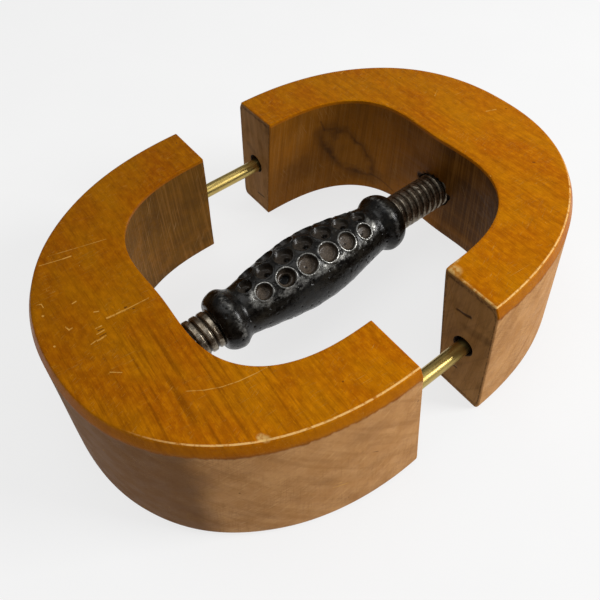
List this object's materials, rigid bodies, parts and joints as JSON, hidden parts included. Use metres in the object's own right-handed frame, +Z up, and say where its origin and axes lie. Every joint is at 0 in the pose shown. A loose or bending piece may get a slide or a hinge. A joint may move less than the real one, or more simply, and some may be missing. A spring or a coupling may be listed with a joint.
{
  "type": "hat stretcher",
  "caption": "Oval hardwood hat stretcher split into halves that slide on brass guide rods, spread by a left- and right-hand screw with a dimpled cast-iron handle.",
  "frame": {"origin": "on the resting plane, in the middle of the gap between the halves, under the screw", "axes": "+X along the screw and the rods towards the half with the left-hand thread, +Y towards the rear rod, +Z up"},
  "size_m": [0.2266, 0.1632, 0.06],
  "materials": {
    "wood": "gloss",
    "rods": "satin",
    "handle": "satin",
    "screws": "satin"
  },
  "bodies": {
    "rods": {"guide_rod_rear": "rods", "guide_rod_front": "rods"},
    "left_block": {"left_half": "wood"},
    "right_block": {"right_half": "wood"},
    "turnscrew": {"handle": "handle", "left_screw": "screws", "right_screw": "screws"}
  },
  "joints": [
    {"name": "left_slide", "type": "slide", "parent": "rods", "child": "left_block", "axis": [-1, 0, 0], "range_m": [-0.0163, 0.0023]},
    {"name": "right_slide", "type": "slide", "parent": "rods", "child": "right_block", "axis": [1, 0, 0], "range_m": [-0.01632, 0.00232]},
    {"name": "screw_turn", "type": "hinge", "parent": "rods", "child": "turnscrew", "pos_m": [0, 0, 0.0274], "axis": [1, 0, 0], "range_deg": [-1727, 245]}
  ],
  "couplings": [
    {"joint": "right_slide", "follows": "left_slide", "ratio": 1},
    {"joint": "screw_turn", "follows": "left_slide", "rad_per_m": 1848}
  ]
}
